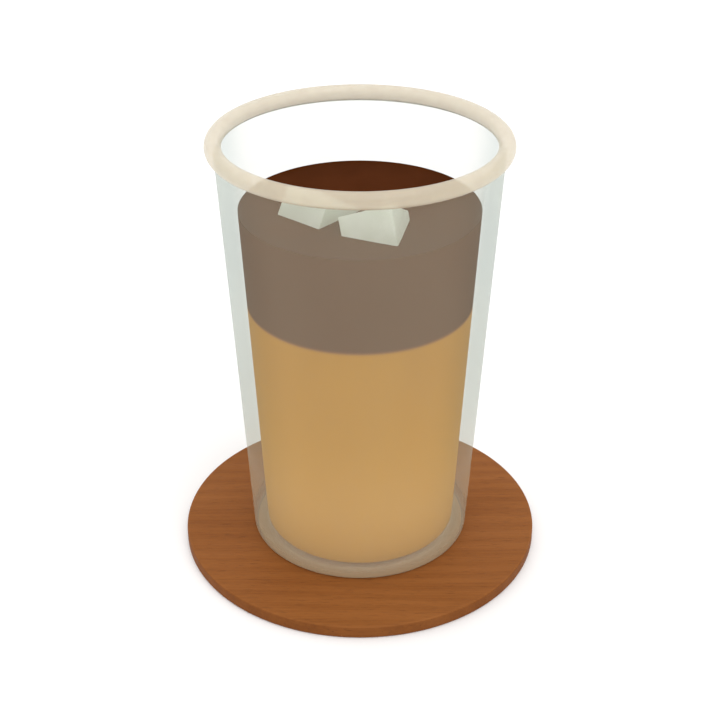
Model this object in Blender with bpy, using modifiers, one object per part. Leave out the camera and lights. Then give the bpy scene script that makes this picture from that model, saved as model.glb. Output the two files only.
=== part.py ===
"""Layered iced coffee in a tapered tumbler with a rolled cream lip, on a round wooden coaster.

Metres, +Z up. The origin is the centre of the coaster's underside, on the tumbler's axis.
Every turned piece is a half section (radius, height) swept round that axis.
The section runs up the inside of a hollow and down its outer side.
"""
import math

import bmesh
import bpy

# Driving dimensions. The coaster is the common four inch size, and the rest is in proportion to it.
COASTER_RADIUS = 0.0508
COASTER_THICKNESS = 0.0038
COASTER_EDGE = 0.0006

# Heights below are measured from the coaster's top face, and radii from the tumbler's axis.
GLASS_FOOT_RADIUS = 0.0309
GLASS_TOP_RADIUS = 0.0375
GLASS_HEEL = 0.0010
BEAD_HEIGHT = 0.1167
BEAD_RADIUS = 0.0375
BEAD_SECTION = 0.0022

DRINK_BOTTOM = 0.0022
DRINK_FOOT_RADIUS = 0.0270
DRINK_CORNER = 0.0010
LAYER_HEIGHT = 0.0717
COFFEE_HEIGHT = 0.0983
COFFEE_RADIUS = 0.0319

# Touching pieces keep this gap.
GAP = 0.0003

# Ice: edge length, roundness, and for each cube its centre (x, y, height over the coffee) and its tilt.
ICE_EDGE = 0.0140
ICE_ROUND = 0.0007
ICE_CUBES = (
    ((-0.0116, -0.0038, -0.00255), (-25.5, 3.5, -42.0)),
    ((0.00465, -0.01435, -0.00275), (-30.5, -19.5, -12.0)),
)

# Fineness of the turned pieces.
STEPS = 64
BEAD_STEPS = 16
CORNER_STEPS = 3
SEAT_STEPS = 4
FLARE_STEPS = 5
SEAT_START = math.radians(215.0)
SEAT_END = math.radians(267.0)
SHARP = math.radians(35.0)
MERGE = 0.00001

# Colours (linear) and roughness.
WOOD = ((0.28, 0.10, 0.03), 0.6)
GLASS = ((0.62, 0.66, 0.58), 0.1)
CREAM = ((0.80, 0.72, 0.56), 0.3)
TAN = ((0.58, 0.28, 0.08), 0.4)
DARK = ((0.09, 0.03, 0.01), 0.3)
ICE = ((0.70, 0.74, 0.64), 0.2)


def clear_scene():
    for old in list(bpy.data.objects):
        bpy.data.objects.remove(old, do_unlink=True)


def new_collection(name):
    group = bpy.data.collections.new(name)
    bpy.context.scene.collection.children.link(group)
    return group


def material(name, look, alpha=1.0):
    colour, roughness = look
    made = bpy.data.materials.new(name)
    made.use_nodes = True
    shader = made.node_tree.nodes["Principled BSDF"]
    shader.inputs["Base Color"].default_value = (*colour, 1.0)
    shader.inputs["Roughness"].default_value = roughness
    shader.inputs["Metallic"].default_value = 0.0
    shader.inputs["Alpha"].default_value = alpha
    return made


def arc(centre, radius, start, end, steps):
    """Points on an arc of the half section, both ends included."""
    points = []
    for i in range(steps + 1):
        angle = start + (end - start) * i / steps
        points.append((centre[0] + radius * math.cos(angle), centre[1] + radius * math.sin(angle)))
    return points


def turned(name, group, section, finish, base=COASTER_THICKNESS):
    """A solid of revolution: the section is swept round +Z by Screw, and kept as a plain mesh."""
    outline = bpy.data.meshes.new(name + "_section")
    points = [(radius, 0.0, base + height) for radius, height in section]
    outline.from_pydata(points, [(i, i + 1) for i in range(len(points) - 1)], [])
    sweep = bpy.data.objects.new(name + "_sweep", outline)
    group.objects.link(sweep)
    screw = sweep.modifiers.new("Sweep", "SCREW")
    screw.axis = "Z"
    screw.steps = STEPS
    screw.render_steps = STEPS
    screw.use_merge_vertices = True
    screw.merge_threshold = MERGE
    solid = bpy.data.objects.new(name, applied_mesh(sweep, name))
    bpy.data.objects.remove(sweep, do_unlink=True)
    group.objects.link(solid)
    finish_mesh(solid, finish)
    return solid


def applied_mesh(source, name):
    """The mesh of an object with its modifiers applied."""
    bpy.context.view_layer.update()
    evaluated = source.evaluated_get(bpy.context.evaluated_depsgraph_get())
    mesh = bpy.data.meshes.new_from_object(evaluated)
    mesh.name = name
    return mesh


def finish_mesh(solid, finish):
    solid.data.shade_smooth()
    solid.data.set_sharp_from_angle(angle=SHARP)
    solid.data.materials.clear()
    solid.data.materials.append(finish)


def drink_radius(height):
    """The drink is a straight cone between its foot and its surface."""
    share = (height - DRINK_BOTTOM) / (COFFEE_HEIGHT - DRINK_BOTTOM)
    return DRINK_FOOT_RADIUS + (COFFEE_RADIUS - DRINK_FOOT_RADIUS) * share


def glass_radius(height):
    """The tumbler's outer side is a straight cone from its foot to the bead's centre."""
    return GLASS_FOOT_RADIUS + (GLASS_TOP_RADIUS - GLASS_FOOT_RADIUS) * height / BEAD_HEIGHT


def build_coaster(group):
    top = COASTER_THICKNESS
    section = [(0.0, top)]
    section += arc((COASTER_RADIUS - COASTER_EDGE, top - COASTER_EDGE), COASTER_EDGE,
                   math.pi / 2, 0.0, CORNER_STEPS)
    section += arc((COASTER_RADIUS - COASTER_EDGE, COASTER_EDGE), COASTER_EDGE,
                   0.0, -math.pi / 2, CORNER_STEPS)
    section += [(0.0, 0.0)]
    return turned("coaster", group, section, material("coaster_wood", WOOD), base=0.0)


def inner_wall():
    """The wall above the drink: it goes on from the drink's cone and thins in one curve to the seat."""
    seat = arc((BEAD_RADIUS, BEAD_HEIGHT), BEAD_SECTION + GAP, SEAT_START, SEAT_END, SEAT_STEPS)
    slope = (COFFEE_RADIUS - DRINK_FOOT_RADIUS) / (COFFEE_HEIGHT - DRINK_BOTTOM)
    start = COFFEE_RADIUS + GAP
    rise = seat[0][1] - COFFEE_HEIGHT
    bend = (seat[0][0] - start - slope * rise) / rise ** 2
    wall = []
    for i in range(FLARE_STEPS):
        up = rise * i / FLARE_STEPS
        wall.append((start + slope * up + bend * up ** 2, COFFEE_HEIGHT + up))
    return wall + seat


def build_glass(group):
    floor = DRINK_BOTTOM - GAP
    corner = DRINK_CORNER + GAP
    foot = DRINK_FOOT_RADIUS + GAP
    section = [(0.0, floor)]
    section += arc((foot - corner, floor + corner), corner, -math.pi / 2, 0.0, CORNER_STEPS + 1)
    section += inner_wall()
    section += arc((glass_radius(GLASS_HEEL) - GLASS_HEEL, GAP + GLASS_HEEL), GLASS_HEEL,
                   0.0, -math.pi / 2, CORNER_STEPS)
    section += [(0.0, GAP)]
    return turned("glass", group, section, material("pale_glass", GLASS, alpha=0.35))


def build_bead(group):
    """The rolled lip: a smooth round ring that sits in the tumbler's seat."""
    bpy.ops.mesh.primitive_torus_add(
        major_segments=STEPS, minor_segments=BEAD_STEPS,
        major_radius=BEAD_RADIUS, minor_radius=BEAD_SECTION,
        location=(0.0, 0.0, COASTER_THICKNESS + BEAD_HEIGHT))
    bead = bpy.context.object
    bead.name = "rim_ring"
    bead.data.name = "rim_ring"
    for holder in list(bead.users_collection):
        holder.objects.unlink(bead)
    group.objects.link(bead)
    finish_mesh(bead, material("cream_lip", CREAM))
    return bead


def build_milk_coffee(group):
    corner = DRINK_CORNER
    top = LAYER_HEIGHT - GAP / 2
    section = [(0.0, top), (drink_radius(top), top)]
    section += arc((DRINK_FOOT_RADIUS - corner, DRINK_BOTTOM + corner), corner,
                   0.0, -math.pi / 2, CORNER_STEPS + 1)
    section += [(0.0, DRINK_BOTTOM)]
    return turned("milk_coffee", group, section, material("milk_coffee", TAN))


def build_black_coffee(group, cutters):
    bottom = LAYER_HEIGHT + GAP / 2
    section = [(0.0, COFFEE_HEIGHT), (COFFEE_RADIUS, COFFEE_HEIGHT)]
    section += [(drink_radius(bottom), bottom), (0.0, bottom)]
    coffee = turned("black_coffee", group, section, material("black_coffee", DARK))
    for cutter in cutters:
        cut = coffee.modifiers.new("Pocket", "BOOLEAN")
        cut.operation = "DIFFERENCE"
        cut.solver = "EXACT"
        cut.object = cutter
    return coffee


def cube(name, group, edge, rounding, place, tilt):
    mesh = bpy.data.meshes.new(name)
    shape = bmesh.new()
    bmesh.ops.create_cube(shape, size=edge)
    shape.to_mesh(mesh)
    shape.free()
    block = bpy.data.objects.new(name, mesh)
    group.objects.link(block)
    block.location = (place[0], place[1], COASTER_THICKNESS + COFFEE_HEIGHT + place[2])
    block.rotation_euler = [math.radians(angle) for angle in tilt]
    bevel = block.modifiers.new("Rounding", "BEVEL")
    bevel.width = rounding
    bevel.segments = 2
    return block


def build_ice(group, cutters):
    """Each cube, and a slightly larger cutter that makes its pocket in the coffee."""
    finish = material("ice", ICE)
    pockets = []
    for number, (place, tilt) in enumerate(ICE_CUBES, start=1):
        name = f"ice_cube_{number}"
        block = cube(name, group, ICE_EDGE, ICE_ROUND, place, tilt)
        block.data.materials.append(finish)
        block.data.shade_smooth()
        block.data.set_sharp_from_angle(angle=SHARP)
        pocket = cube(name + "_pocket", cutters, ICE_EDGE + 2 * GAP, ICE_ROUND + GAP, place, tilt)
        pocket.hide_render = True
        pocket.display_type = "WIRE"
        pockets.append(pocket)
    return pockets


def main():
    clear_scene()
    drink = new_collection("iced_coffee")
    cutters = new_collection("cutters")
    build_coaster(drink)
    build_glass(drink)
    build_bead(drink)
    build_milk_coffee(drink)
    pockets = build_ice(drink, cutters)
    build_black_coffee(drink, pockets)


main()
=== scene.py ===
"""Looks of the layered iced coffee: misted tumbler, cream lip, two coffee layers, ice, wooden coaster."""
import math

import bmesh
import bpy
import numpy as np
from mathutils import Euler, Matrix, Vector, noise


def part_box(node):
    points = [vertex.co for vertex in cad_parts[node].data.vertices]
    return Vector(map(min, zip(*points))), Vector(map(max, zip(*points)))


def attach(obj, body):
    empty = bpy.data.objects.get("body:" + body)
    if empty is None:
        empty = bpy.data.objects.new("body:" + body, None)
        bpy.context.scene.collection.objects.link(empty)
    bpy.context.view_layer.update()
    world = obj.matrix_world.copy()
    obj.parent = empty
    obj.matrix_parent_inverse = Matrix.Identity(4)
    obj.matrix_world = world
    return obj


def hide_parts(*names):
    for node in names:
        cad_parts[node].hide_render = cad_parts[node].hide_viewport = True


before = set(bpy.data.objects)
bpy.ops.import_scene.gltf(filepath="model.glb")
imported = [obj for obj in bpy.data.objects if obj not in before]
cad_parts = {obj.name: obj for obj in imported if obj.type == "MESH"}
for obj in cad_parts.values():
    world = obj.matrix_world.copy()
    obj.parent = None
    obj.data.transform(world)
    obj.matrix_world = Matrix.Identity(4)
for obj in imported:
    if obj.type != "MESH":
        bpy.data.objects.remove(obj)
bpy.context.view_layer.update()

# Places read from the frame, in metres.
COASTER_LOW, COASTER_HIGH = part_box("coaster")
RING_LOW, RING_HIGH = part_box("rim_ring")
MILK_LOW, MILK_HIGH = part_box("milk_coffee")
COFFEE_LOW, COFFEE_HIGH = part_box("black_coffee")
TABLE_TOP = COASTER_LOW.z
COASTER_TOP = COASTER_HIGH.z
COASTER_RADIUS = COASTER_HIGH.x
BEAD_SECTION = (RING_HIGH.z - RING_LOW.z) / 2
BEAD_RADIUS = RING_HIGH.x - BEAD_SECTION
BEAD_HEIGHT = (RING_HIGH.z + RING_LOW.z) / 2
DRINK_BOTTOM = MILK_LOW.z
LAYER_HEIGHT = (MILK_HIGH.z + COFFEE_LOW.z) / 2
COFFEE_HEIGHT = COFFEE_HIGH.z
COFFEE_RADIUS = COFFEE_HIGH.x

# Sizes that the boxes don't give, as in the part's source. Angles are in degrees.
COASTER_EDGE = 0.0006
GLASS_FOOT_RADIUS = 0.0309
GLASS_TOP_RADIUS = 0.0375
GLASS_HEEL = 0.0010
SEAT_START = 215.0
SEAT_END = 267.0
DRINK_FOOT_RADIUS = 0.0270
DRINK_CORNER = 0.0010
ICE_EDGE = 0.0140
ICE_TILTS = {"ice_cube_1": (-25.5, 3.5, -42.0), "ice_cube_2": (-30.5, -19.5, -12.0)}

# How closely pieces meet here: the drink reaches into the wall, the glass stands on the coaster,
# the lip lies in its seat, and the ice is a little fuller than its solid, in a pocket cut a little
# small. The last two are shares of the solid cube's edge.
INTO_WALL = 0.00008
STANDING_GAP = 0.00003
SEAT_GAP = 0.00004
ICE_SHARE = 1.020
POCKET_SHARE = 0.98

# Fineness: points round a turned piece, then steps along the stretches of its section.
TURNS = 256
FACE_STEPS = 6
CORNER_STEPS = 6
HEEL_STEPS = 8
SEAT_STEPS = 10
INNER_STEPS = 16
OUTER_STEPS = 24
BEAD_STEPS = 48
MILK_STEPS = 40
COFFEE_STEPS = 30
SURFACE_STEPS = 60
CLIMB_STEPS = 16

# An edge stays sharp from this angle on. A point this near to the axis is on it, and one this
# near to the coffee's height is on its surface.
SHARP = math.radians(40.0)
ON_AXIS = 1e-9
LEVEL = 1e-6

# The radius at which the rings of points begin on the coaster and on the coffee.
COASTER_INNER = 0.01
COFFEE_INNER = 0.0005

# The liquid climbs this high at the wall, and a share of that at the ice, over about this distance.
# The surface has finer rings in its last few millimetres, where it climbs.
MENISCUS_RISE = 0.0004
MENISCUS_REACH = 0.0008
ICE_CLIMB = 0.3
CLIMB_WIDTH = 0.003

# Ice: squares along an edge, roundness of the edges, and how far and how often melting waves it.
# Each cube takes the wave from another place, this far along.
ICE_CELLS = 22
ICE_ROUND = 0.0003
ICE_WAVE = 0.010
ICE_WAVE_SCALE = 170.0
ICE_WAVE_STEP = 7.0

# Heights over the coaster at which the look of the glass changes. The heel's mist is painted
# light in the wood's colour, the mist is painted brighter low down against the shade there, and
# higher up the sides of the glass hold less mist.
HEEL_FULL = 0.001
HEEL_GONE = 0.007
LOW_GONE = 0.050
SIDES_MISTED = 0.015
SIDES_CLEARER = 0.035

# Where the two layers blur into each other, as distances from their meeting.
MILK_BLUR = 0.0009
MILK_BLUR_PAST = 0.0001
COFFEE_BLUR = 0.0008

# The picture was taken from this place, looking along +Y and down, with a square frame.
CAMERA_PLACE = (0.0, -0.3384, 0.2521)
CAMERA_DOWN = 30.06
CAMERA_LENS = 70.45
CAMERA_SENSOR = 36.0

# The studio: a white surround and three softboxes, each with its place and power.
FLOOR_SIZE = 12.0
SOFTBOX_SIZE = 1.75
SOFTBOX_TARGET = (0.0, 0.0, 0.06)
SOFTBOXES = {
    "key": ((0.80, -0.90, 2.40), 16.0),
    "fill": ((-1.87, -0.87, 1.37), 4.0),
    "back": ((-0.50, 0.90, 2.60), 8.5),
}

WHITE = (1.0, 1.0, 1.0, 1.0)


def turned(name, section, finishes=None):
    """A closed turned mesh. The section (radius, height) starts and ends on the axis, and runs down
    the outer side.

    finishes gives the material index of each stretch of the section, from one point to the next.
    """
    angles = np.linspace(0.0, 2 * math.pi, TURNS, endpoint=False)
    points = []
    rows = []
    for radius, height in section:
        start = len(points)
        if radius < ON_AXIS:
            points.append((0.0, 0.0, height))
            rows.append([start])
        else:
            points += [(radius * math.cos(a), radius * math.sin(a), height) for a in angles]
            rows.append(list(range(start, start + TURNS)))
    faces = []
    indices = []
    for k, (upper, lower) in enumerate(zip(rows, rows[1:])):
        for i in range(TURNS):
            j = (i + 1) % TURNS
            if len(upper) == 1:
                faces.append((upper[0], lower[i], lower[j]))
            elif len(lower) == 1:
                faces.append((upper[i], lower[0], upper[j]))
            else:
                faces.append((upper[i], lower[i], lower[j], upper[j]))
            indices.append(finishes[k] if finishes else 0)
    return new_piece(name, points, faces, indices)


def new_piece(name, points, faces, indices=None):
    """An object with this mesh, smooth but for its sharp edges, and a material index for each face."""
    mesh = bpy.data.meshes.new(name)
    mesh.from_pydata(points, [], faces)
    if indices:
        mesh.polygons.foreach_set("material_index", indices)
    mesh.validate()
    mesh.shade_smooth()
    mesh.set_sharp_from_angle(angle=SHARP)
    piece = bpy.data.objects.new(name, mesh)
    bpy.context.scene.collection.objects.link(piece)
    return piece


def dress(piece, slot, *materials):
    """The piece takes these materials and rides on the one body. The slot is not used."""
    for made in materials:
        piece.data.materials.append(made)
    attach(piece, "root")
    return piece


def arc(centre, radius, start, end, steps):
    """Points on an arc of a section, from start to end in degrees."""
    angles = [math.radians(start + (end - start) * i / steps) for i in range(steps + 1)]
    return [(centre[0] + radius * math.cos(a), centre[1] + radius * math.sin(a)) for a in angles]


def between(first, last, steps):
    """Evenly spaced numbers from the first towards the last, without the last."""
    return [first + (last - first) * i / steps for i in range(steps)]


def drink_radius(height):
    """The drink is a straight cone from its foot to its surface."""
    share = (height - DRINK_BOTTOM) / (COFFEE_HEIGHT - DRINK_BOTTOM)
    return DRINK_FOOT_RADIUS + (COFFEE_RADIUS - DRINK_FOOT_RADIUS) * share


def glass_radius(height):
    """The tumbler's outer side is a straight cone up to the lip's centre."""
    share = (height - COASTER_TOP) / (BEAD_HEIGHT - COASTER_TOP)
    return GLASS_FOOT_RADIUS + (GLASS_TOP_RADIUS - GLASS_FOOT_RADIUS) * share


class Graph:
    """A material's node tree, built from calls that name each node's sockets."""

    def __init__(self, name):
        self.material = bpy.data.materials.new(name)
        self.material.use_nodes = True
        self.tree = self.material.node_tree
        self.tree.nodes.clear()

    def add(self, kind, sockets=None, **settings):
        """A new node; a socket's value is a number, a colour or another node's output."""
        node = self.tree.nodes.new(kind)
        for key, value in settings.items():
            setattr(node, key, value)
        for key, value in (sockets or {}).items():
            if isinstance(value, bpy.types.NodeSocket):
                self.tree.links.new(value, node.inputs[key])
            else:
                node.inputs[key].default_value = value
        return node

    def place(self):
        """The point being shaded, in the object's own metres."""
        return self.add("ShaderNodeTexCoord").outputs["Object"]

    def upward(self):
        """1 where the surface faces up, -1 where it faces down."""
        return self.axis(self.add("ShaderNodeNewGeometry").outputs["Normal"], "Z")

    def facing(self):
        """0 where the surface is seen straight on, 1 where it is seen along its face, from either side."""
        return self.add("ShaderNodeLayerWeight", {"Blend": 0.5}).outputs["Facing"]

    def axis(self, vector, name):
        return self.add("ShaderNodeSeparateXYZ", {"Vector": vector}).outputs[name]

    def scaled(self, vector, scale):
        return self.add("ShaderNodeMapping", {"Vector": vector, "Scale": scale}).outputs["Vector"]

    def noise(self, vector, scale, detail=3.0, rough=0.5, distortion=0.0):
        sockets = {"Vector": vector, "Scale": scale, "Detail": detail, "Roughness": rough}
        sockets["Distortion"] = distortion
        return self.add("ShaderNodeTexNoise", sockets).outputs["Fac"]

    def math(self, operation, first, second=0.0):
        return self.add("ShaderNodeMath", {0: first, 1: second}, operation=operation).outputs[0]

    def span(self, value, from_low, from_high, to_low=0.0, to_high=1.0, smooth=True):
        """The value's way from one number to another, as a number between two others."""
        sockets = {"Value": value, "From Min": from_low, "From Max": from_high}
        sockets["To Min"] = to_low
        sockets["To Max"] = to_high
        kind = "SMOOTHSTEP" if smooth else "LINEAR"
        return self.add("ShaderNodeMapRange", sockets, interpolation_type=kind).outputs["Result"]

    def blend(self, share, first, second, mode="MIX"):
        """A colour between two colours. In the Mix node, colours are inputs 6 and 7 and output 2."""
        sockets = {0: share, 6: first, 7: second}
        return self.add("ShaderNodeMix", sockets, data_type="RGBA", blend_type=mode).outputs[2]

    def tinted(self, colour, tint):
        """A colour multiplied by a tint."""
        return self.blend(1.0, colour, tint, mode="MULTIPLY")

    def bump(self, height, distance, strength=1.0):
        sockets = {"Height": height, "Distance": distance, "Strength": strength}
        return self.add("ShaderNodeBump", sockets).outputs["Normal"]

    def clear(self, colour=WHITE):
        """A shader that lets what lies behind it through, in this colour."""
        return self.add("ShaderNodeBsdfTransparent", {"Color": colour}).outputs[0]

    def matt(self, colour):
        return self.add("ShaderNodeBsdfDiffuse", {"Color": colour}).outputs[0]

    def mixed(self, share, first, second):
        """A shader between two shaders."""
        return self.add("ShaderNodeMixShader", {0: share, 1: first, 2: second}).outputs[0]

    def glossy(self, body, roughness, straight, grazing):
        """A body under a clear reflection, whose share rises from straight on to grazing."""
        steepness = 5.0
        gloss = self.add("ShaderNodeBsdfGlossy", {"Color": WHITE, "Roughness": roughness})
        rise = self.math("POWER", self.facing(), steepness)
        share = self.math("ADD", self.math("MULTIPLY", rise, grazing), straight)
        return self.mixed(share, body, gloss.outputs[0])

    def finish(self, shader):
        output = self.add("ShaderNodeOutputMaterial")
        self.tree.links.new(shader, output.inputs["Surface"])
        return self.material


def rgb(red, green, blue):
    """A linear colour from the 0 to 255 numbers of a screen colour, by the sRGB formula."""
    linear = []
    for value in (red / 255, green / 255, blue / 255):
        linear.append(value / 12.92 if value <= 0.04045 else ((value + 0.055) / 1.055) ** 2.4)
    return (*linear, 1.0)


def wood_material():
    """Brown close-grained wood: long fibres along X, wavy year rings and fine dark pores.

    The wood is painted darker on its side and underside: painted shade.
    """
    deep = rgb(135, 81, 38)
    pale = rgb(145, 90, 46)
    ring = rgb(120, 69, 31)
    streak = rgb(159, 102, 52)
    pore = rgb(96, 54, 26)
    side_shade_tint = (0.80, 0.74, 0.65, 1.0)
    drift_width = 0.014
    ring_wave = 1150.0
    relief = 0.00006
    g = Graph("coaster_wood")
    place = g.place()
    drift = g.noise(g.scaled(place, (9.0, 30.0, 30.0)), 1.0, detail=2.0)
    across = g.math("ADD", g.axis(place, "Y"), g.math("MULTIPLY", drift, drift_width))
    rings = g.span(g.math("SINE", g.math("MULTIPLY", across, ring_wave)), -1.0, 1.0)
    fibre = g.noise(g.scaled(place, (60.0, 2600.0, 900.0)), 1.0, detail=4.0, rough=0.6)
    pores = g.noise(g.scaled(place, (220.0, 5200.0, 2600.0)), 1.0, detail=2.0, rough=0.4)
    pores = g.span(pores, 0.62, 0.74)
    cloud = g.noise(g.scaled(place, (18.0, 45.0, 45.0)), 1.0, detail=2.0)
    colour = g.blend(g.span(cloud, 0.3, 0.7), deep, pale)
    colour = g.blend(g.math("MULTIPLY", rings, 0.32), colour, ring)
    colour = g.blend(g.span(fibre, 0.35, 0.75, 0.0, 0.35), colour, streak)
    colour = g.blend(g.math("MULTIPLY", pores, 0.5), colour, pore)
    # Painted shade: the side and underside are darker than the top.
    colour = g.blend(g.span(g.upward(), 0.2, 0.9), g.tinted(colour, side_shade_tint), colour)
    height = g.math("SUBTRACT", fibre, g.math("MULTIPLY", pores, 0.8))
    shader = g.add("ShaderNodeBsdfPrincipled", {
        "Base Color": colour,
        "Roughness": g.span(fibre, 0.2, 0.8, 0.52, 0.68),
        "Specular IOR Level": 0.08,
        "Normal": g.bump(height, distance=relief),
    })
    return g.finish(shader.outputs[0])


def lip_material():
    """Smooth cream opal glass, painted darker underneath as painted shade, that lets some of what lies
    behind it through.
    """
    deep = rgb(215, 203, 181)
    pale = rgb(219, 208, 186)
    underside_shade_tint = (0.60, 0.56, 0.53, 1.0)
    let_through = (1.0, 0.99, 0.96, 1.0)
    body_share = 0.58
    g = Graph("cream_lip")
    cloud = g.noise(g.place(), 260.0)
    colour = g.blend(g.span(cloud, 0.3, 0.7), deep, pale)
    # Painted shade: the lip is darker where it faces down.
    colour = g.blend(g.span(g.upward(), -0.3, -0.9), colour, g.tinted(colour, underside_shade_tint))
    body = g.add("ShaderNodeBsdfPrincipled", {
        "Base Color": colour,
        "Roughness": 0.28,
        "Specular IOR Level": 0.4,
        "Subsurface Weight": 0.15,
        "Subsurface Radius": (1.0, 0.8, 0.6),
        "Subsurface Scale": 0.0015,
    })
    return g.finish(g.mixed(body_share, g.clear(let_through), body.outputs[0]))


def misted_glass_material():
    """The outside of the cold glass: clear glass under a thin mist.

    The mist is painted brighter, with a weaker tint, low down, as painted light against the shade there,
    and it is densest at the thick heel, where it is painted in the colour of the wood as painted light.
    Higher up, where the glass is seen along its face, it has less mist and a grey-green tint.
    """
    upper_mist = (0.66, 0.595, 0.44, 1.0)
    lower_mist_painted_light = (0.86, 0.82, 0.64, 1.0)
    heel_painted_wood_light = (0.52, 0.42, 0.29, 1.0)
    edge_tint = (0.757, 0.80, 0.793, 1.0)
    full_share = 0.20
    side_share = 0.165
    heel_share = 0.26
    g = Graph("misted_glass")
    place = g.place()
    height = g.axis(place, "Z")
    patch = g.noise(g.scaled(place, (70.0, 70.0, 26.0)), 1.0)
    # Painted light: the mist is brighter low down, against the shade near the coaster.
    low = g.span(height, COASTER_TOP + LOW_GONE, COASTER_TOP)
    # Painted light: the heel's mist takes the wood's colour.
    heel = g.span(height, COASTER_TOP + HEEL_GONE, COASTER_TOP + HEEL_FULL)
    edge = g.span(g.facing(), 0.3, 0.65)
    high = g.span(height, COASTER_TOP + SIDES_MISTED, COASTER_TOP + SIDES_CLEARER)
    share = g.span(g.math("MULTIPLY", edge, high), 0.0, 1.0, full_share, side_share, smooth=False)
    share = g.math("MULTIPLY", g.span(patch, 0.25, 0.75, 0.97, 1.03), share)
    share = g.math("ADD", share, g.math("MULTIPLY", heel, heel_share))
    mist = g.matt(g.blend(heel, g.blend(low, upper_mist, lower_mist_painted_light), heel_painted_wood_light))
    # Painted light: the glass's tint is weaker low down.
    tinting_painted_light_low = g.span(height, COASTER_TOP, COASTER_TOP + LOW_GONE, 0.25, 1.0)
    glass = g.clear(g.blend(g.math("MULTIPLY", edge, tinting_painted_light_low), WHITE, edge_tint))
    body = g.mixed(share, glass, mist)
    return g.finish(g.glossy(body, roughness=0.16, straight=0.005, grazing=0.07))


def foot_material():
    """The underside of the glass, painted in the colours of the wood and the drink as painted light seen
    through the thick foot.

    Its colour changes round the drink's foot, from a little outside that radius to a little inside,
    painted brighter inward against the drink's shadow.
    """
    under_wall = (0.48, 0.33, 0.18, 1.0)
    under_drink_painted_light = (0.97, 0.74, 0.48, 1.0)
    outside = 0.001
    inside = 0.003
    body_share = 0.85
    g = Graph("glass_foot_painted_light")
    flat = g.scaled(g.place(), (1.0, 1.0, 0.0))
    radius = g.add("ShaderNodeVectorMath", {0: flat}, operation="LENGTH").outputs["Value"]
    # Painted light: brighter inward, under the drink, where the drink's shadow falls.
    inward_painted_light = g.span(radius, DRINK_FOOT_RADIUS + outside, DRINK_FOOT_RADIUS - inside)
    body = g.matt(g.blend(inward_painted_light, under_wall, under_drink_painted_light))
    return g.finish(g.mixed(body_share, g.clear(), body))


def clear_glass_material():
    """The inside of the glass, dry and clear."""
    faint_green = (0.985, 0.99, 0.985, 1.0)
    g = Graph("clear_glass")
    return g.finish(g.glossy(g.clear(faint_green), roughness=0.05, straight=0.01, grazing=0.08))


def milk_material():
    """Caramel-coloured milk coffee, a little uneven, paler downwards as painted light against the shade
    low in the glass, and darker just under the coffee.
    """
    deep = rgb(176, 123, 10)
    pale = rgb(180, 127, 14)
    bottom_painted_light = rgb(222, 164, 44)
    stained = rgb(120, 74, 36)
    g = Graph("milk_coffee")
    place = g.place()
    height = g.axis(place, "Z")
    wisps = g.noise(g.scaled(place, (60.0, 60.0, 22.0)), 1.0, detail=4.0, distortion=0.6)
    # Painted light: the milk is paler downwards, against the shade low in the glass.
    downward_painted_light = g.span(height, LAYER_HEIGHT, DRINK_BOTTOM, 0.0, 0.40)
    edge = g.span(height, LAYER_HEIGHT - MILK_BLUR, LAYER_HEIGHT + MILK_BLUR_PAST, 0.0, 0.7)
    colour = g.blend(g.span(wisps, 0.3, 0.7), deep, pale)
    colour = g.blend(downward_painted_light, colour, bottom_painted_light)
    colour = g.blend(edge, colour, stained)
    shader = g.add("ShaderNodeBsdfPrincipled", {
        "Base Color": colour,
        "Roughness": 0.5,
        "Specular IOR Level": 0.02,
    })
    return g.finish(shader.outputs[0])


def coffee_material():
    """Dark coffee: glossy, its side painted a shade lighter than its top as painted light, and lighter
    still over the milk.
    """
    deep = rgb(70, 33, 9)
    pale = rgb(75, 36, 12)
    side = rgb(81, 37, 9)
    creamed = rgb(170, 112, 56)
    g = Graph("black_coffee")
    place = g.place()
    wisps = g.noise(g.scaled(place, (80.0, 80.0, 40.0)), 1.0, distortion=0.5)
    edge = g.span(g.axis(place, "Z"), LAYER_HEIGHT + COFFEE_BLUR, LAYER_HEIGHT, 0.0, 0.35)
    colour = g.blend(g.span(wisps, 0.3, 0.7), deep, pale)
    # Painted light: the side is a shade lighter than the top, where it gets less light.
    colour = g.blend(g.span(g.upward(), 0.3, 0.8), side, colour)
    colour = g.blend(edge, colour, creamed)
    return g.finish(g.glossy(g.matt(colour), roughness=0.12, straight=0.0015, grazing=0.04))


def ice_material():
    """Cloudy pale ice: milky and lit through from every side, wet and smooth outside, with faint flaws."""
    deep = rgb(235, 242, 229)
    pale = rgb(244, 250, 240)
    flaw = rgb(252, 255, 250)
    through_share = 0.45
    g = Graph("ice")
    place = g.place()
    cloud = g.noise(place, 210.0, detail=4.0, rough=0.55)
    flaws = g.noise(g.scaled(place, (500.0, 500.0, 1400.0)), 1.0, rough=0.6)
    colour = g.blend(g.span(cloud, 0.3, 0.72), deep, pale)
    colour = g.blend(g.span(flaws, 0.6, 0.8, 0.0, 0.5), colour, flaw)
    skin = g.bump(cloud, distance=0.0002, strength=0.5)
    outside = g.add("ShaderNodeBsdfDiffuse", {"Color": colour, "Normal": skin})
    through = g.add("ShaderNodeBsdfTranslucent", {"Color": colour, "Normal": skin})
    body = g.mixed(through_share, outside.outputs[0], through.outputs[0])
    return g.finish(g.glossy(body, roughness=0.15, straight=0.01, grazing=0.2))


def floor_material():
    g = Graph("pale_floor")
    shader = g.add("ShaderNodeBsdfPrincipled", {
        "Base Color": (0.96, 0.96, 0.96, 1.0),
        "Roughness": 0.9,
        "Specular IOR Level": 0.0,
    })
    return g.finish(shader.outputs[0])


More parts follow.
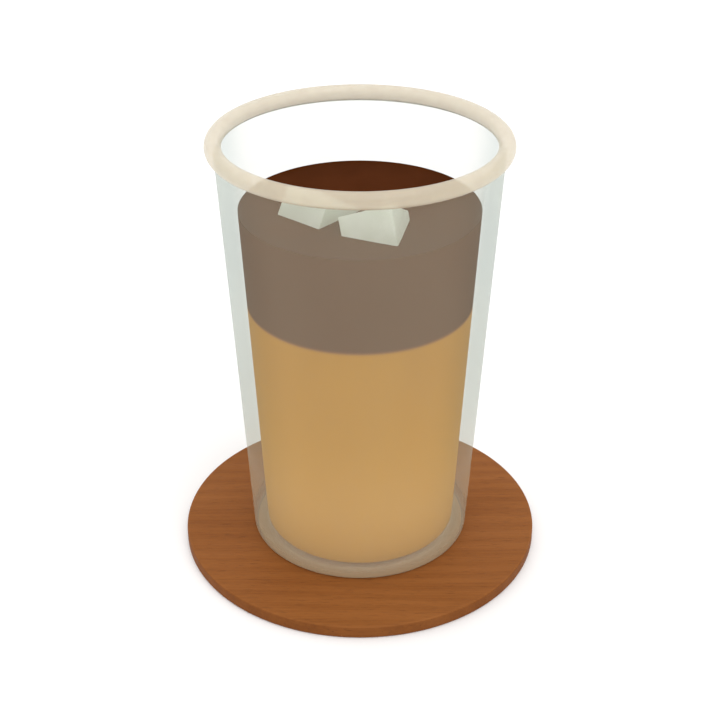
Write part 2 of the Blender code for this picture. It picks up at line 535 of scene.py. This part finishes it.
def build_coaster():
    low = TABLE_TOP + COASTER_EDGE
    high = COASTER_TOP - COASTER_EDGE
    rim = COASTER_RADIUS - COASTER_EDGE
    section = [(0.0, COASTER_TOP)]
    section += [(radius, COASTER_TOP) for radius in between(COASTER_INNER, rim, FACE_STEPS)]
    section += arc((rim, high), COASTER_EDGE, 90.0, 0.0, CORNER_STEPS)
    section += arc((rim, low), COASTER_EDGE, 0.0, -90.0, CORNER_STEPS)
    section += [(0.0, TABLE_TOP)]
    coaster = dress(turned("coaster_disc", section), "coaster_wood", wood_material())
    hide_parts("coaster")


def lip_seat():
    """The concave top edge of the wall, in which the cream ring sits."""
    return arc((BEAD_RADIUS, BEAD_HEIGHT), BEAD_SECTION + SEAT_GAP, SEAT_START, SEAT_END, SEAT_STEPS)


def inner_wall():
    """Above the drink the wall goes on from the drink's cone and thins in one curve to the seat."""
    seat = lip_seat()
    slope = (COFFEE_RADIUS - DRINK_FOOT_RADIUS) / (COFFEE_HEIGHT - DRINK_BOTTOM)
    start = COFFEE_RADIUS - INTO_WALL
    rise = seat[0][1] - COFFEE_HEIGHT
    bend = (seat[0][0] - start - slope * rise) / rise ** 2
    steps = between(0.0, rise, INNER_STEPS)
    return [(start + slope * up + bend * up ** 2, COFFEE_HEIGHT + up) for up in steps]


def build_glass():
    """One section runs up the inside, over the seat and down the outer side to the foot's middle.

    The inside is clear, the seat and the outer side are misted, and the underside is the foot.
    """
    misted, clear, under = 0, 1, 2
    floor = DRINK_BOTTOM + INTO_WALL
    base = COASTER_TOP + STANDING_GAP
    corner = DRINK_CORNER
    foot = DRINK_FOOT_RADIUS - INTO_WALL
    section = [(0.0, floor)]
    section += arc((foot - corner, floor + corner), corner, -90.0, 0.0, CORNER_STEPS)
    section += inner_wall()
    inside = len(section)
    section += lip_seat()
    top = section[-1][1]
    heel = glass_radius(base + GLASS_HEEL) - GLASS_HEEL
    side = between(top, base + GLASS_HEEL, OUTER_STEPS)[1:]
    section += [(glass_radius(height), height) for height in side]
    section += arc((heel, base + GLASS_HEEL), GLASS_HEEL, 0.0, -90.0, HEEL_STEPS)
    outside = len(section)
    section += [(0.0, base)]
    finishes = [clear] * inside + [misted] * (outside - inside - 1) + [under]
    glass = turned("tumbler", section, finishes)
    dress(glass, "pale_glass", misted_glass_material(), clear_glass_material(), foot_material())
    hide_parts("glass")


def build_lip():
    """A closed ring, so its section comes back to its start."""
    around = np.linspace(0.0, 2 * math.pi, TURNS, endpoint=False)
    section = arc((BEAD_RADIUS, BEAD_HEIGHT), BEAD_SECTION, 90.0, -270.0, BEAD_STEPS)[:-1]
    count = len(section)
    points = [(r * math.cos(a), r * math.sin(a), z) for a in around for r, z in section]
    faces = []
    for i in range(TURNS):
        for k in range(count):
            here = i * count
            there = ((i + 1) % TURNS) * count
            after = (k + 1) % count
            faces.append((here + k, here + after, there + after, there + k))
    lip = dress(new_piece("lip_ring", points, faces), "cream_lip", lip_material())
    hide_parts("rim_ring")


def build_milk():
    corner = (DRINK_FOOT_RADIUS - DRINK_CORNER, DRINK_BOTTOM + DRINK_CORNER)
    section = [(0.0, LAYER_HEIGHT)]
    section += [(drink_radius(height), height) for height in between(LAYER_HEIGHT, corner[1], MILK_STEPS)]
    section += arc(corner, DRINK_CORNER, 0.0, -90.0, CORNER_STEPS)
    section += [(0.0, DRINK_BOTTOM)]
    milk = dress(turned("milk_layer", section), "milk_coffee", milk_material())
    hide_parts("milk_coffee")


def ice_placement(name):
    """A cube's centre, from its box in the frame, and its turn."""
    low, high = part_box(name)
    return (low + high) / 2, Euler([math.radians(a) for a in ICE_TILTS[name]]).to_matrix()


ICE_PLACES = {name: ice_placement(name) for name in ICE_TILTS}


def ice_distance(point):
    """How far a point is from the nearest cube's faces; 0 inside a cube."""
    distances = []
    for centre, turn in ICE_PLACES.values():
        local = turn.transposed() @ (point - centre)
        outside = Vector([max(abs(c) - ICE_EDGE / 2, 0.0) for c in local])
        distances.append(outside.length)
    return min(distances)


def build_coffee():
    """The dark layer, whose surface climbs a little at the wall and round the ice."""
    shore = COFFEE_RADIUS - CLIMB_WIDTH
    rings = between(COFFEE_INNER, shore, SURFACE_STEPS) + between(shore, COFFEE_RADIUS, CLIMB_STEPS)
    heights = between(COFFEE_HEIGHT, LAYER_HEIGHT, COFFEE_STEPS)
    section = [(0.0, COFFEE_HEIGHT)] + [(radius, COFFEE_HEIGHT) for radius in rings]
    section += [(drink_radius(height), height) for height in heights]
    section += [(drink_radius(LAYER_HEIGHT), LAYER_HEIGHT), (0.0, LAYER_HEIGHT)]
    coffee = turned("coffee_layer", section)
    for vertex in coffee.data.vertices:
        if vertex.co.z < COFFEE_HEIGHT - LEVEL:
            continue
        to_wall = COFFEE_RADIUS - math.hypot(vertex.co.x, vertex.co.y)
        at_wall = math.exp(-to_wall / MENISCUS_REACH)
        at_ice = ICE_CLIMB * math.exp(-ice_distance(vertex.co) / MENISCUS_REACH)
        vertex.co.z += MENISCUS_RISE * min(at_wall + at_ice, 1.0)
    cut_pockets(coffee)
    dress(coffee, "black_coffee", coffee_material())
    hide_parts("black_coffee")


def cut_pockets(coffee):
    """Each ice cube gets its pocket. The cut needs flat faces, so all faces become triangles first."""
    whole = coffee.data
    shape = bmesh.new()
    shape.from_mesh(whole)
    bmesh.ops.triangulate(shape, faces=shape.faces)
    shape.to_mesh(whole)
    shape.free()
    cutters = [pocket_cutter(centre, turn) for centre, turn in ICE_PLACES.values()]
    for cutter in cutters:
        cut = coffee.modifiers.new("Pocket", "BOOLEAN")
        cut.operation = "DIFFERENCE"
        cut.solver = "EXACT"
        cut.object = cutter
    bpy.context.view_layer.update()
    evaluated = coffee.evaluated_get(bpy.context.evaluated_depsgraph_get())
    coffee.data = bpy.data.meshes.new_from_object(evaluated)
    coffee.modifiers.clear()
    bpy.data.meshes.remove(whole)
    coffee.data.name = coffee.name
    coffee.data.set_sharp_from_angle(angle=SHARP)
    for cutter in cutters:
        bpy.data.objects.remove(cutter, do_unlink=True)


def pocket_cutter(centre, turn):
    """A cube a little smaller than the ice, so that the ice reaches into the liquid."""
    shape = bmesh.new()
    placed = Matrix.Translation(centre) @ turn.to_4x4()
    bmesh.ops.create_cube(shape, size=ICE_EDGE * POCKET_SHARE, matrix=placed)
    mesh = bpy.data.meshes.new("pocket")
    shape.to_mesh(mesh)
    shape.free()
    cutter = bpy.data.objects.new("pocket", mesh)
    bpy.context.scene.collection.objects.link(cutter)
    return cutter


def rounded_cube():
    """The points and faces of a cube round the origin: a grid on each side, pushed to a rounded box."""
    half = ICE_EDGE / 2
    straight = half - ICE_ROUND
    points = []
    index = {}
    faces = []

    def corner(cell):
        if cell not in index:
            index[cell] = len(points)
            grid = Vector([(2.0 * c / ICE_CELLS - 1.0) * half for c in cell])
            core = Vector([max(-straight, min(straight, c)) for c in grid])
            away = grid - core
            points.append(core + away.normalized() * ICE_ROUND if away.length > 0 else grid)
        return index[cell]

    for axis in range(3):
        for side in (0, ICE_CELLS):
            for a in range(ICE_CELLS):
                for b in range(ICE_CELLS):
                    loop = []
                    for u, v in ((a, b), (a + 1, b), (a + 1, b + 1), (a, b + 1)):
                        cell = [0, 0, 0]
                        cell[axis] = side
                        cell[(axis + 1) % 3] = u
                        cell[(axis + 2) % 3] = v
                        loop.append(corner(tuple(cell)))
                    faces.append(loop if side else loop[::-1])
    return points, faces


def build_ice(name, number, made):
    """A cube with melted edges, its faces a little uneven, in its place in the drink."""
    points, faces = rounded_cube()
    centre, turn = ICE_PLACES[name]
    placed = []
    for point in points:
        wave = noise.noise(point * ICE_WAVE_SCALE + Vector((ICE_WAVE_STEP * number, 0.0, 0.0)))
        placed.append(turn @ (point * (ICE_SHARE + ICE_WAVE * wave)) + centre)
    block = dress(new_piece(f"ice_block_{number}", placed, faces), "ice", made)
    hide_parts(name)


def build_stage():
    bpy.ops.mesh.primitive_plane_add(size=FLOOR_SIZE, location=(0.0, 0.0, TABLE_TOP))
    floor = bpy.context.object
    floor.name = "floor"
    floor.data.materials.append(floor_material())
    world = bpy.data.worlds.new("studio")
    world.use_nodes = True
    background = world.node_tree.nodes["Background"]
    background.inputs["Color"].default_value = WHITE
    background.inputs["Strength"].default_value = 1.0
    bpy.context.scene.world = world
    for name, (place, power) in SOFTBOXES.items():
        softbox(name, place, power)


def softbox(name, place, power):
    light = bpy.data.lights.new(name, "AREA")
    light.size = SOFTBOX_SIZE
    light.energy = power
    lamp = bpy.data.objects.new(name, light)
    lamp.location = place
    lamp.rotation_euler = (Vector(SOFTBOX_TARGET) - Vector(place)).to_track_quat("-Z", "Y").to_euler()
    bpy.context.scene.collection.objects.link(lamp)


def build_camera():
    data = bpy.data.cameras.new("camera")
    data.lens = CAMERA_LENS
    data.sensor_width = CAMERA_SENSOR
    camera = bpy.data.objects.new("camera", data)
    camera.location = CAMERA_PLACE
    camera.rotation_euler = (math.radians(90.0 - CAMERA_DOWN), 0.0, 0.0)
    bpy.context.scene.collection.objects.link(camera)
    bpy.context.scene.camera = camera


def main():
    bpy.context.scene.view_settings.view_transform = "Standard"
    build_camera()
    build_stage()
    build_coaster()
    build_glass()
    build_lip()
    build_milk()
    build_coffee()
    ice = ice_material()
    for number, name in enumerate(ICE_TILTS, start=1):
        build_ice(name, number, ice)


main()
